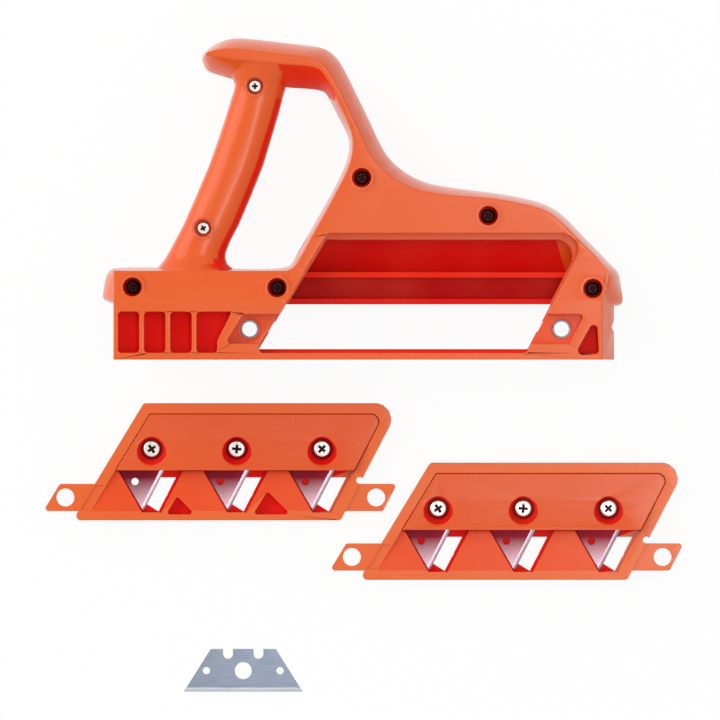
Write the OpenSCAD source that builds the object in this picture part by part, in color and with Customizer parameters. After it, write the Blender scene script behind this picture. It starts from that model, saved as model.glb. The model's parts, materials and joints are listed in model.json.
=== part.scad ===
// Drywall edge plane with two removable blade cassettes and one spare blade.
// Everything lies flat on its back, side by side, as on a bench: X runs along
// the sole, Y up the handle, Z out of the back towards the front face.
// Heights called back, front and depth are along Z. The plane of the tool is XY.

/* [Body] */
// Length of the base flange from end to end
body_l = 226.6; // [222:1:236]
// Height from the sole to the top of the handle
body_h = 140.3; // [136:1:148]
// Depth of the base from its back to its front face
body_t = 39; // [37:0.5:44]
// How far the handle web lies behind the front face
web_drop = 3; // [2:0.25:3.5]
// Depth of the joint between the two shells, where the body is widest
part_z = 21; // [19:0.5:22]
// Height of the two mounting bushings above the sole
bushing_h = 13.3; // [13:0.1:14]
// Distance from the left end of the flange to the middle of the bushings
bushing_mid = 131.8; // [131:0.2:133]
// Length of the ribbed lower block
block_l = 217.8; // [216:0.5:219]
// Height of the front face of the lower block above the bushings
block_top = 11; // [10:0.5:12]
// Height of the top of the sloped band above the bushings
band_top = 25.3; // [24.5:0.2:26]

/* [Window] */
// Slant of the left end of the window and the cassettes, in degrees
left_slant = 58.8; // [57:0.5:61]
// Slant of the right end of the window and the cassettes, in degrees
right_slant = 62.5; // [61:0.5:64]
// Height of the clear opening above the bushings
window_top = 10.8; // [10:0.2:11.5]
// Depth of the clear opening below the bushings
window_bottom = 8.7; // [8:0.1:9]
// Gap left round a cassette in its seat
seat_gap = 0.4; // [0.25:0.05:0.6]
// Depth of the groove that the corner of the board runs in, from the back
groove_apex = 29; // [28.6:0.1:29.2]
// Thickness of the two stiffening ribs inside the window
rib_t = 2.4; // [2:0.1:3]

/* [Cassettes] */
// Distance between the two lug holes, and between the two bushings
lug_spacing = 135.7; // [134.5:0.1:137]
// Radius of a lug hole
lug_hole_r = 3.9; // [3.5:0.1:4.2]
// Width of a lug across the slant
lug_h = 11.9; // [11:0.1:12.4]
// Thickness of a lug
lug_t = 2.6; // [2:0.1:3]
// Height of a cassette above its lug holes
cassette_top = 41.2; // [40.9:0.1:42]
// Reach of a cassette below its lug holes
cassette_bottom = 10; // [9.7:0.1:10.2]
// Thickness of a cassette at its rim
cassette_t = 9; // [8.5:0.1:9.5]
// Width of the rim round the clamp plate
rim_w = 4.6; // [4:0.1:5]
// Extra thickness of the clamp plate at its lower edge
clamp_rise = 3; // [2:0.25:3.5]
// Thickness of the floor under the blades
blade_floor = 0.8; // [0.7:0.1:1]

/* [Blades] */
// Length of a blade along its cutting edge
blade_l = 52; // [50:0.5:52]
// Width of a blade
blade_w = 18.7; // [18:0.1:19]
// Thickness of a blade
blade_t = 0.65; // [0.5:0.05:0.8]
// Length of a blade along its back
blade_back_l = 28.4; // [27:0.2:30]
// Radius of the central hole of a blade
blade_hole_r = 3.72; // [3.6:0.02:3.9]
// Distance from the back of a blade to its central hole
blade_hole_y = 9.5; // [9:0.1:9.8]
// Width of the ground bevel along the cutting edge
bevel_w = 1.8; // [1.2:0.1:2.2]
// Number of blades in each cassette
blade_count = 3; // [3:1:3]
// Distance from one blade to the next
blade_pitch = 37.2; // [36.5:0.1:37.6]
// Angle of the cutting edges to the sole, in degrees
blade_angle = 62.8; // [62:0.1:63.2]

/* [Screws] */
// Radius of the shank of a clamp screw
clamp_shank_r = 2; // [1.75:0.05:2.1]
// Radius of the head of a clamp screw
clamp_head_r = 3.9; // [3.4:0.1:4.1]
// Radius of the shank of a body screw
body_shank_r = 1.6; // [1.4:0.1:1.8]
// Radius of the head of a body screw
body_head_r = 2.9; // [2.8:0.1:3.2]
// Radius of the deep holes that the body screws sit in
screw_hole_r = 4.1; // [3.9:0.1:4.3]

/* [Bushings] */
// Outer radius of a mounting bushing
bushing_r = 4; // [3.8:0.1:4.3]
// Bore radius of a mounting bushing
bushing_bore_r = 3.2; // [3:0.1:3.3]

/* [Hidden] */
$fn = 48;

// Overrun of every cut past the face that it opens
over = 1;
// Radial clearance of a turning or sliding fit
fit = 0.05;
orange = [0.91, 0.33, 0.13];
clamp_orange = [0.93, 0.30, 0.12];
steel = [0.45, 0.46, 0.50];
nickel = [0.86, 0.84, 0.80];
blackened = [0.10, 0.08, 0.08];

// Where the pieces lie. The bushings' middle is each piece's own origin.
cassette_step = 125.1;
cassette_row_45 = 73.5;
cassette_row_60 = 99.5;
spare_row = 149.3;
spare_x = -52.8;
body_x = 18.1;
lug_end = 6.1;

// Step from the rim of a cassette down to its lugs
lug_step = 0.6;

// Recess round the top of a bushing
bushing_sink = 0.8;
bushing_seat_r = 5;

// Levels of the body, measured from its back
lip_drop = 2;
front_z = body_t;
web_z = body_t - web_drop;
seat_z = web_z - cassette_t;
lug_z = seat_z + cassette_t - lug_t - lug_step;
bushing_z = lug_z - bushing_sink;
groove_y = (window_top - window_bottom) / 2;
lip_z = seat_z - lip_drop;

// Outline of the body without its grip, at its widest and at the crest of its
// front, point by point from the tip of the horn, as shares of body_l and body_h
rim_shares = [
    [0.19, 0.932, 0.1985, 0.9445], [0.194, 0.952, 0.2008, 0.9516], [0.208, 0.972, 0.212, 0.9575],
    [0.227, 0.988, 0.23, 0.9622], [0.248, 0.997, 0.256, 0.964], [0.273, 0.998, 0.277, 0.9605],
    [0.329, 0.988, 0.325, 0.951], [0.398, 0.975, 0.386, 0.939], [0.427, 0.965, 0.411, 0.927],
    [0.45, 0.936, 0.428, 0.906], [0.469, 0.885, 0.444, 0.867], [0.49, 0.816, 0.465, 0.802],
    [0.513, 0.74, 0.488, 0.723], [0.534, 0.667, 0.51, 0.647], [0.554, 0.619, 0.532, 0.599],
    [0.581, 0.582, 0.562, 0.557], [0.611, 0.556, 0.597, 0.531], [0.643, 0.542, 0.636, 0.516],
    [0.691, 0.53, 0.687, 0.507], [0.751, 0.518, 0.748, 0.499], [0.808, 0.502, 0.802, 0.484],
    [0.848, 0.483, 0.841, 0.467], [0.881, 0.452, 0.871, 0.439], [0.929, 0.374, 0.919, 0.363],
    [0.975, 0.298, 0.963, 0.291], [0.991, 0.269, 0.971, 0.266], [0.996, 0.229, 0.971, 0.226],
    [1., 0.188, 0.958, 0.185], [0.995, 0.171, 0.956, 0.173], [0.977, 0.165, 0.952, 0.168],
    [0.877, 0.165, 0.877, 0.167], [0.494, 0.167, 0.494, 0.168], [0.129, 0.17, 0.129, 0.171],
    [0.037, 0.171, 0.043, 0.172], [0.01, 0.178, 0.028, 0.178], [0., 0.193, 0.025, 0.191],
    [0.002, 0.229, 0.026, 0.229], [0.007, 0.263, 0.029, 0.257], [0.017, 0.281, 0.035, 0.27],
    [0.033, 0.286, 0.049, 0.273], [0.091, 0.287, 0.094, 0.274], [0.16, 0.285, 0.16, 0.273],
    [0.24, 0.283, 0.24, 0.272], [0.306, 0.282, 0.306, 0.272], [0.347, 0.286, 0.348, 0.274],
    [0.36, 0.294, 0.363, 0.281], [0.368, 0.314, 0.375, 0.303], [0.394, 0.387, 0.401, 0.38],
    [0.421, 0.464, 0.428, 0.457], [0.445, 0.534, 0.451, 0.527], [0.463, 0.594, 0.47, 0.588],
    [0.472, 0.641, 0.479, 0.638], [0.473, 0.678, 0.48, 0.684], [0.467, 0.707, 0.475, 0.7195],
    [0.452, 0.754, 0.4645, 0.76], [0.438, 0.799, 0.4515, 0.805], [0.4277, 0.827, 0.437, 0.852],
    [0.413, 0.8365, 0.42, 0.8935], [0.386, 0.841, 0.399, 0.9105], [0.3526, 0.8446, 0.3552, 0.916],
    [0.3, 0.857, 0.3058, 0.9237], [0.256, 0.868, 0.256, 0.9303], [0.2291, 0.88, 0.233, 0.937],
    [0.2008, 0.898, 0.211, 0.9405]
];

// Grip, from inside the base up to inside the strap: height as a share of
// body_h, left and right side as shares of body_l, and share of grip_drop
grip_shares = [
    [0.2590, 0.0968, 0.2637, 0.10], [0.2823, 0.1018, 0.2503, 0.22], [0.2962, 0.1106, 0.2399, 0.62],
    [0.3133, 0.1187, 0.2353, 0.88], [0.3334, 0.1261, 0.2361, 0.98], [0.3613, 0.1353, 0.2430, 1.00],
    [0.4171, 0.1538, 0.2608, 1.00], [0.5101, 0.1791, 0.2852, 1.00], [0.6030, 0.2035, 0.3082, 1.00],
    [0.6805, 0.2203, 0.3224, 1.00], [0.7592, 0.2367, 0.3374, 1.00], [0.8107, 0.2464, 0.3454, 0.98],
    [0.8354, 0.2514, 0.3497, 0.93], [0.8540, 0.2533, 0.3531, 0.83], [0.8726, 0.2491, 0.3596, 0.62],
    [0.8974, 0.2407, 0.3750, 0.30], [0.9284, 0.2292, 0.3903, 0.06]
];

// Levels of the flared wall from its widest, 0, to its crest, 1
level_shares = [0, 0.35, 0.7, 1];
flare_power = 1.25;
// How far a flared wall reaches into its core, as a share of its width
root_share = 0.2;

// Cross-section of the grip, a rounded bar that lies lower than the web
grip_drop = 5.5;
grip_back_share = 0.55;
grip_steps = 16;
grip_power = 2.3;

// Steps of every curve between two points of a table, and of every arc
curve_steps = 3;
arc_steps = 6;

// Ribs of the wall inside the window, and how far its steps lie from the groove
rib_y = 22.4;
wall_top = cassette_top - rib_t;
rib_step = 1;
step_skin = 2;
step_rise = 1;
wall_rise = 5;
wall_inset = 0.5;

// Screws of the body, as shares of body_l and body_h
shell_screw_shares = [
    [0.0574, 0.2252], [0.3350, 0.2231], [0.4974, 0.5638], [0.7405, 0.4462], [0.9409, 0.2202]
];
grip_screw_shares = [[0.2921, 0.8482], [0.1929, 0.4077]];
boss_wall = 1.4;
boss_proud = 0.5;
shell_head_h = 2.2;
shell_land = 2.5;
shell_grip_l = 14;
tip_wall = 1;
grip_head_h = 2;
grip_sink = 1.3;
grip_head_z = web_z - grip_drop - grip_sink - grip_head_h;
grip_hole_r = 3.7;
grip_boss_wall = 1.1;
grip_boss_proud = 0.6;

// Pockets of the lower block
pocket_top = 7.5;
pocket_bottom = 10.3;
pocket_w = 9.2;
pocket_pitch = 11.4;
pocket_x = -125;
pocket_skin = 1.2;
pocket_r = 1.6;
pocket_count = 3;
pocket_last_w = 15.3;
pocket_last_foot = 8.9;
nose_pocket_shares = [[0.9477, 0.1351], [0.9075, 0.0180], [0.9525, 0.0180]];
nose_l = 90.8;
nose_draft = 5.4;
nose_draft_h = 12;
block_r = 0.6;

// Cassette outline at the height of the lug holes
plate_left = -58.6;
plate_right = 57.6;
plate_corner_r = 7;
lug_corner_r = 1.3;
ridge_w = 0.7;
plate_small_r = 2;
notch_r = 1.5;
crease_y = 24.9;
mouth_top = 11.7;
bar_top = 6;
rib_drop = 2.2;
opening_w = 6.6;
opening_low = 3;
screw_x = 7;
screw_y = 21.2;
clamp_floor = 7.2;
clamp_gap = 0.2;
clamp_head_h = 2.4;
counterbore_gap = 0.8;
counterbore_lip = 0.7;
boss_r = 3.45;
boss_top = 5.2;
crown_steps = 4;
small_hole_r = 1.6;
small_hole_x = 16.1;
slit_w = 4.3;
slit_x = 6.65;

// Closed curve through the points of a table, with straight runs kept straight
function flat(p) = [p[0], p[1]];
function gap(a, b) = norm(flat(b) - flat(a));
function slope_at(p, i) =
    let(a = p[(i + len(p) - 1) % len(p)], b = p[i], c = p[(i + 1) % len(p)])
    (c - a) / (gap(a, b) + gap(b, c));
function curve(p, n) = [
    for (i = [0 : len(p) - 1], k = [0 : n - 1])
        let(
            j = (i + 1) % len(p), t = k / n, l = gap(p[i], p[j]),
            h0 = 2 * pow(t, 3) - 3 * pow(t, 2) + 1, h1 = pow(t, 3) - 2 * pow(t, 2) + t,
            h2 = 3 * pow(t, 2) - 2 * pow(t, 3), h3 = pow(t, 3) - pow(t, 2)
        )
        h0 * p[i] + h1 * l * slope_at(p, i) + h2 * p[j] + h3 * l * slope_at(p, j)
];
function backwards(p) = [for (i = [len(p) - 1 : -1 : 0]) p[i]];
function spot(s) = [s[0] * body_l - bushing_mid, s[1] * body_h - bushing_h];
function on_body(s) = [
    s[0] * body_l - bushing_mid, s[1] * body_h - bushing_h,
    s[2] * body_l - bushing_mid, s[3] * body_h - bushing_h
];
function outline() = backwards(curve([for (s = rim_shares) on_body(s)], curve_steps));

// One ring of a rounded wall: share 0 is its widest level, 1 its crest
function rounding(share) =
    share < 0 || share > 1 ? share : 1 - pow(1 - pow(share, flare_power), 1 / flare_power);
function ring(p, share, z) = [
    for (q = p)
        let(r = rounding(share))
        [q[0] + (q[2] - q[0]) * r, q[1] + (q[3] - q[1]) * r, z]
];

function level_z(share, front) = front ? part_z + (web_z - part_z) * share : part_z * (1 - share);

// Corner of an outline as an arc; each point of the outline is [x, y, radius]
function unit(v) = v / norm(v);
function corner(a, b, c) =
    let(
        u = unit(flat(a) - flat(b)), v = unit(flat(c) - flat(b)), half = acos(u * v) / 2,
        run = b[2] / tan(half), mid = flat(b) + unit(u + v) * b[2] / sin(half),
        s = flat(b) + u * run - mid, e = flat(b) + v * run - mid
    )
    b[2] == 0 ? [flat(b)] : [
        for (k = [0 : arc_steps])
            let(w = unit(s * (1 - k / arc_steps) + e * k / arc_steps)) mid + w * b[2]
    ];
function rounded(p) = [
    for (i = [0 : len(p) - 1]) each corner(p[(i + len(p) - 1) % len(p)], p[i], p[(i + 1) % len(p)])
];

// Solid with a wall of rings round it. The wall is a closed loop of sections,
// and the core is the plain outline inside it.
module walled(core, rings, low, high) {
    m = len(rings[0]);
    n = len(rings);
    polyhedron(
        points = [for (r = rings) each r],
        faces = [
            for (i = [0 : n - 1], j = [0 : m - 1])
                let(k = (j + 1) % m, up = (i + 1) % n)
                each [[i * m + j, up * m + j, up * m + k], [i * m + j, up * m + k, i * m + k]]
        ]
    );
    translate([0, 0, low])
        linear_extrude(high - low)
            polygon([for (q = core) flat(q)]);
}

// Prism along X of an outline given as [y, z]
module along_x(from, to, points) {
    translate([from, 0, 0])
        rotate([90, 0, 90])
            linear_extrude(to - from)
                polygon(points);
}

module hole(at, r, low, high) {
    translate([at[0], at[1], low])
        cylinder(r = r, h = high - low);
}

// Outline between the two slanted ends, moved outwards by grow
function end_x(base, slant, y, grow) = base + y / tan(slant) + grow / sin(slant);
function slanted(low, high, grow, small_r, large_r) = rounded([
    [end_x(plate_left, left_slant, low, -grow), low, small_r],
    [end_x(plate_right, right_slant, low, grow), low, small_r],
    [end_x(plate_right, right_slant, high, grow), high, large_r],
    [end_x(plate_left, left_slant, high, -grow), high, small_r]
]);
function lug_outline(grow) =
    let(h = lug_h / 2 + grow, e = lug_spacing / 2 + lug_end + grow / sin(left_slant))
    rounded([
        [-e - h / tan(left_slant), -h, lug_corner_r], [e - h / tan(right_slant), -h, lug_corner_r],
        [e + h / tan(right_slant), h, lug_corner_r], [-e + h / tan(left_slant), h, lug_corner_r]
    ]);

// Half of the body before its cuts. Front is true for the half with the web.
module half(front) {
    rim = outline();
    grip(front);
    low = front ? part_z : 0;
    high = front ? web_z : part_z;
    shares = front ? level_shares : backwards(level_shares);
    walled(
        core = ring(rim, 1, low),
        rings = concat(
            [ring(rim, 1 + root_share, low)],
            [for (s = shares) ring(rim, s, level_z(s, front))],
            [ring(rim, 1 + root_share, high)]
        ),
        low = low, high = high
    );
    intersection() {
        along_x(-bushing_mid, body_l, front ? [
            [-bushing_h, 0], [-bushing_h, front_z], [block_top, front_z], [band_top, web_z],
            [band_top, part_z], [groove_y, part_z], [groove_y, 0]
        ] : [[groove_y, 0], [groove_y, part_z], [band_top, part_z], [band_top, 0]]);
        translate([0, band_top + over, 0])
            rotate([90, 0, 0])
                linear_extrude(band_top + bushing_h + 2 * over)
                    polygon(rounded(let(right = nose_l, left = nose_l - block_l) [
                        [left, 0, block_r], [right, 0, block_r],
                        [right, front_z - nose_draft_h, 0], [right - nose_draft, front_z, block_r],
                        [left, front_z, block_r]
                    ]));
    }
}

// Grip of one half, a bar of sections between the base and the strap
function grip_section(s, front) =
    let(
        left = spot([s[1], s[0]]), right = spot([s[2], s[0]]), half_w = (right[0] - left[0]) / 2,
        sink = s[3] * grip_drop,
        rise = front ? web_z - sink - part_z : sink * grip_back_share - part_z
    )
    [for (k = [0 : grip_steps])
        let(a = 180 * k / grip_steps, c = cos(a))
        [left[0] + half_w * (1 - sign(c) * pow(abs(c), 2 / grip_power)), left[1],
         part_z + rise * pow(sin(a), 2 / grip_power)]];
module grip(front) {
    n = len(grip_shares);
    m = grip_steps + 1;
    faces = [
        for (i = [0 : n - 2], k = [0 : m - 1])
            let(next = (k + 1) % m, up = (i + 1) * m)
            each [[i * m + k, up + k, up + next], [i * m + k, up + next, i * m + next]],
        for (k = [1 : m - 2])
            each [[0, k, k + 1], [(n - 1) * m, (n - 1) * m + k + 1, (n - 1) * m + k]]
    ];
    polyhedron(
        points = [for (s = grip_shares) each grip_section(s, front)],
        faces = front ? faces : [for (f = faces) backwards(f)]
    );
}

// Seat of a cassette, the clear opening behind it and the ribbed wall above
module window() {
    translate([0, 0, seat_z])
        linear_extrude(body_t)
            polygon(slanted(-cassette_bottom - seat_gap, cassette_top + seat_gap, seat_gap,
                            plate_small_r, plate_corner_r));
    translate([0, 0, -over])
        linear_extrude(body_t)
            polygon(slanted(-window_bottom, window_top, 0, 0, 0));
    intersection() {
        linear_extrude(body_t)
            polygon(slanted(0, wall_top, -wall_inset, 0, plate_corner_r));
        along_x(-body_l, body_l, rib_profile);
    }
}
rib_profile = [
    [window_top - over, lip_z], [window_top + rib_t, lip_z],
    [window_top + rib_t, groove_z(window_top) + step_skin],
    [rib_y, groove_z(window_top) + step_skin + step_rise],
    [rib_y, lip_z - rib_step], [rib_y + rib_t, lip_z - rib_step],
    [rib_y + rib_t, groove_z(rib_y) + step_skin + step_rise],
    [wall_top, groove_z(rib_y) + step_skin + step_rise + wall_rise],
    [wall_top, seat_z + over], [window_top - over, seat_z + over]
];

// Groove along the back for the corner of the board, its faces at 45 degrees
function groove_z(y) = groove_apex - (y - groove_y);
module board_groove() {
    deep = groove_apex + over;
    along_x(-body_l, body_l, [
        [groove_y, groove_apex], [groove_y - deep, -over], [groove_y + deep, -over]
    ]);
}

module lug_seats() {
    translate([0, 0, lug_z])
        linear_extrude(body_t)
            polygon(lug_outline(seat_gap));
}

module block_pockets() {
    translate([0, 0, groove_apex + pocket_skin])
        linear_extrude(body_t) {
            for (i = [0 : pocket_count - 1])
                translate([pocket_x + i * pocket_pitch, 0])
                    polygon(rounded([
                        [0, -pocket_bottom, pocket_r], [pocket_w, -pocket_bottom, pocket_r],
                        [pocket_w, pocket_top, pocket_r], [0, pocket_top, pocket_r]
                    ]));
            translate([pocket_x + pocket_count * pocket_pitch, 0])
                polygon(rounded([
                    [0, -pocket_bottom, pocket_r], [pocket_last_foot, -pocket_bottom, pocket_r],
                    [pocket_last_foot, -pocket_bottom / 2, pocket_r / 2],
                    [pocket_last_w, pocket_top, pocket_r / 2], [0, pocket_top, pocket_r]
                ]));
            polygon(rounded([for (s = nose_pocket_shares) [each spot(s), pocket_r]]));
        }
}

shell_screws_at = [for (s = shell_screw_shares) spot(s)];
grip_screws_at = [for (s = grip_screw_shares) spot(s)];

// Height of the boss round a shell screw
function boss_z(at) = at[1] < band_top ? front_z - web_drop / 3 : web_z + boss_proud;

module front_shell() {
    color(orange)
        difference() {
            union() {
                half(true);
                for (at = shell_screws_at)
                    hole(at, screw_hole_r + boss_wall, part_z, boss_z(at));
                for (at = grip_screws_at)
                    hole(at, grip_hole_r + grip_boss_wall, part_z, web_z - grip_drop + grip_boss_proud);
            }
            window();
            board_groove();
            lug_seats();
            block_pockets();
            for (at = shell_screws_at) {
                hole(at, screw_hole_r, part_z + shell_land, front_z + over);
                hole(at, body_shank_r + fit, part_z - over, front_z);
            }
            for (at = grip_screws_at) {
                hole(at, grip_hole_r, grip_head_z, front_z);
                hole(at, body_shank_r + fit, part_z - over, front_z);
            }
            for (side = [-1, 1]) {
                hole([side * lug_spacing / 2, 0], bushing_r, part_z - over, front_z);
                hole([side * lug_spacing / 2, 0], bushing_seat_r, bushing_z, front_z);
            }
        }
}

module rear_shell() {
    color(orange)
        difference() {
            half(false);
            window();
            board_groove();
            for (at = concat(shell_screws_at, grip_screws_at))
                hole(at, body_shank_r + fit, screw_tip(at), part_z + over);
        }
}

// Tip of a body screw, kept inside the rear shell where the groove is deep
function screw_tip(at) =
    let(face = groove_z(at[1] - body_shank_r))
    max(part_z - shell_grip_l, face + tip_wall);

// Pan head over a plain shank; under is the underside of the head
module screw(at, head_r, head_h, shank_r, under, tip) {
    crown = head_h / 3;
    translate([at[0], at[1], 0])
        rotate_extrude()
            polygon(concat(
                [[0, tip], [shank_r, tip], [shank_r, under], [head_r, under]],
                [for (k = [0 : crown_steps]) let(a = 90 * k / crown_steps)
                    [head_r * cos(a), under + head_h - crown + crown * sin(a)]]
            ));
}

module shell_screws() {
    color(blackened)
        for (at = shell_screws_at)
            screw(at, body_head_r, shell_head_h, body_shank_r, part_z + shell_land, screw_tip(at));
}

module grip_screws() {
    color(nickel)
        for (at = grip_screws_at)
            screw(at, body_head_r, grip_head_h, body_shank_r, grip_head_z, screw_tip(at));
}

module bushing(side) {
    color(steel)
        difference() {
            hole([side * lug_spacing / 2, 0], bushing_r, groove_apex + fit, bushing_z);
            hole([side * lug_spacing / 2, 0], bushing_bore_r, 0, front_z);
        }
}

// Cassette pieces, from the middle of the lug holes with the back at 0
function blade_at(i) = [screw_x + (i - (blade_count - 1) / 2) * blade_pitch, screw_y];

// A blade flat in its own plane, its central hole at the origin
function blade_points(grow) =
    let(
        low = -(blade_w - blade_hole_y) - grow, high = blade_hole_y + grow,
        side = grow * blade_l / blade_w
    )
    [[-blade_l / 2 - side, low], [blade_l / 2 + side, low],
     [blade_back_l / 2 + side, high], [-blade_back_l / 2 - side, high]];

module blade() {
    color(steel)
        difference() {
            linear_extrude(blade_t)
                difference() {
                    polygon(blade_points(0));
                    circle(r = blade_hole_r);
                    for (side = [-1, 1]) {
                        translate([side * small_hole_x, 0])
                            circle(r = small_hole_r);
                        translate([side * slit_x, blade_hole_y - slit_w / 2])
                            circle(r = slit_w / 2);
                        translate([side * slit_x - slit_w / 2, blade_hole_y - slit_w / 2])
                            square([slit_w, slit_w]);
                    }
                }
            along_x(-blade_l, blade_l, let(edge = blade_hole_y - blade_w) [
                [edge - over, blade_t / 3], [edge, blade_t / 3], [edge + bevel_w, blade_t],
                [edge + bevel_w, blade_t + over], [edge - over, blade_t + over]
            ]);
        }
}

module seated_blade(i) {
    translate([blade_at(i)[0], blade_at(i)[1], blade_floor])
        rotate([0, 0, blade_angle])
            blade();
}

// Open mouth in front of a blade's tip, down to the chip opening
function edge_x(y, i) = blade_at(i)[0] + (y - screw_y) / tan(blade_angle)
    + (blade_w - blade_hole_y) / sin(blade_angle);
function tip_y() = screw_y - blade_l / 2 * sin(blade_angle) - (blade_w - blade_hole_y) * cos(blade_angle);
function heel_x(y, i) =
    let(end = atan(2 * blade_w / (blade_l - blade_back_l)), slant = 180 - blade_angle - end)
    edge_x(tip_y(), i) - (y - tip_y()) / tan(slant);
module mouth(i) {
    linear_extrude(body_t)
        polygon([
            [edge_x(tip_y(), i) - seat_gap, tip_y() - seat_gap],
            [edge_x(tip_y(), i) + opening_w, tip_y() - seat_gap],
            [edge_x(mouth_top + over, i) + opening_w, mouth_top + over],
            [heel_x(mouth_top + over, i) - seat_gap, mouth_top + over]
        ]);
}
module chip_opening(i) {
    linear_extrude(body_t)
        polygon([
            [edge_x(-opening_low, i), -opening_low], [edge_x(tip_y(), i) + opening_w, tip_y()],
            [edge_x(mouth_top - opening_low, i) + opening_w, mouth_top - opening_low],
            [edge_x(mouth_top - opening_low, i), mouth_top - opening_low]
        ]);
}

// Trough across the rim at the root of the left lug, with a ridge on each side
module lug_trough() {
    reach = lug_h / 2 - ridge_w;
    translate([0, 0, cassette_t - lug_step])
        linear_extrude(body_t)
            polygon([
                [end_x(plate_left, left_slant, -reach, ridge_w), -reach],
                [end_x(plate_left, left_slant, -reach, rim_w - ridge_w), -reach],
                [end_x(plate_left, left_slant, reach, rim_w - ridge_w), reach],
                [end_x(plate_left, left_slant, reach, ridge_w), reach]
            ]);
}

// Cut that slopes the ribs between the mouths, from the clamp plate downwards
module rib_slope() {
    intersection() {
        linear_extrude(body_t)
            polygon(slanted(-bar_top, mouth_top + over, -rim_w, 0, 0));
        along_x(-body_l, body_l, [
            [-bar_top, cassette_t], [mouth_top + over, cassette_t - rib_drop],
            [mouth_top + over, body_t], [-bar_top, body_t]
        ]);
    }
}

// Frame of a cassette. Lean is the slant of the upper face of its board groove.
module frame(lean) {
    color(orange)
        difference() {
            union() {
                difference() {
                    union() {
                        linear_extrude(cassette_t)
                            polygon(slanted(-cassette_bottom, cassette_top, 0, plate_small_r,
                                            plate_corner_r));
                        translate([0, 0, lug_z - seat_z])
                            linear_extrude(lug_t)
                                polygon(lug_outline(0));
                    }
                    translate([0, 0, blade_floor + blade_t])
                        linear_extrude(body_t)
                            polygon(slanted(mouth_top, cassette_top - rim_w, -rim_w, 0, plate_corner_r / 2));
                    lug_trough();
                    rib_slope();
                    for (i = [0 : blade_count - 1]) {
                        translate([0, 0, blade_floor + blade_t])
                            mouth(i);
                        translate([blade_at(i)[0], blade_at(i)[1], blade_floor])
                            rotate([0, 0, blade_angle])
                                linear_extrude(blade_t + fit)
                                    polygon(blade_points(seat_gap / 2));
                        translate([0, 0, -over])
                            chip_opening(i);
                    }
                }
                for (i = [0 : blade_count - 1])
                    hole(blade_at(i), boss_r, 0, boss_top);
            }
            for (i = [0 : blade_count - 1])
                hole(blade_at(i), clamp_shank_r + fit, -over, body_t);
            for (side = [-1, 1])
                hole([side * lug_spacing / 2, 0], lug_hole_r, 0, body_t);
            hole([end_x(plate_right, right_slant, lug_h / 2, 0), lug_h / 2 + notch_r], notch_r, 0, body_t);
            along_x(-body_l, body_l, let(deep = groove_apex - seat_z) [
                [groove_y, deep], [groove_y - (deep + over) / tan(90 - lean), -over],
                [groove_y + (deep + over) / tan(lean), -over]
            ]);
        }
}

// Triangular pockets in the two ribs of the 45 degree frame, as shares of
// lug_spacing and of cassette_bottom
rib_pocket_shares = [
    [[-0.1405, 0.06], [-0.0830, -0.74], [-0.1760, -0.74]],
    [[0.1500, 0.27], [0.2260, -0.74], [0.1035, -0.74]]
];
rib_pocket_depth = 5;
rib_pocket_r = 1;

module frame_45() {
    color(orange)
        difference() {
            frame(45);
            translate([0, 0, cassette_t - rib_pocket_depth])
                linear_extrude(body_t)
                    for (p = rib_pocket_shares)
                        polygon(rounded([
                            for (q = p) [q[0] * lug_spacing, q[1] * cassette_bottom, rib_pocket_r]
                        ]));
        }
}

module frame_60() {
    frame(60);
}

module clamp_plate() {
    color(clamp_orange)
        difference() {
            intersection() {
                linear_extrude(body_t)
                    polygon(slanted(mouth_top + clamp_gap, cassette_top - rim_w - clamp_gap,
                                    -rim_w - clamp_gap, 0, plate_corner_r / 2));
                along_x(-body_l, body_l, let(low = blade_floor + blade_t) [
                    [mouth_top, low], [mouth_top, cassette_t + clamp_rise], [crease_y, cassette_t],
                    [cassette_top, cassette_t], [cassette_top, low]
                ]);
            }
            for (i = [0 : blade_count - 1]) {
                let(r = clamp_head_r + counterbore_gap, run = clamp_rise + over) {
                    hole(blade_at(i), r, clamp_floor, body_t);
                    translate([blade_at(i)[0], blade_at(i)[1], cassette_t - counterbore_lip])
                        cylinder(r1 = r, r2 = r + run, h = run);
                }
                hole(blade_at(i), clamp_shank_r + fit, 0, body_t);
                hole(blade_at(i), blade_hole_r, 0, boss_top + fit * 2);
            }
        }
}

module clamp_screw(i) {
    color(nickel)
        screw(blade_at(i), clamp_head_r, clamp_head_h, clamp_shank_r, clamp_floor, blade_floor);
}

// Places of the pieces on the bench, with the middle of the whole set at the origin
body_top = max([for (q = outline()) q[1]]);
body_y = (spare_row + blade_w - blade_hole_y - body_top) / 2;
lug_xs = [for (p = lug_outline(0)) p[0]];
set_x = -(min(lug_xs) + max(lug_xs)) / 2;
module on_bench_body() { translate([set_x + body_x, body_y, 0]) children(); }
module on_bench_45() { translate([set_x - cassette_step / 2, body_y - cassette_row_45, 0]) children(); }
module on_bench_60() { translate([set_x + cassette_step / 2, body_y - cassette_row_60, 0]) children(); }
module on_bench_spare() { translate([set_x + spare_x, body_y - spare_row, 0]) children(); }

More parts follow.
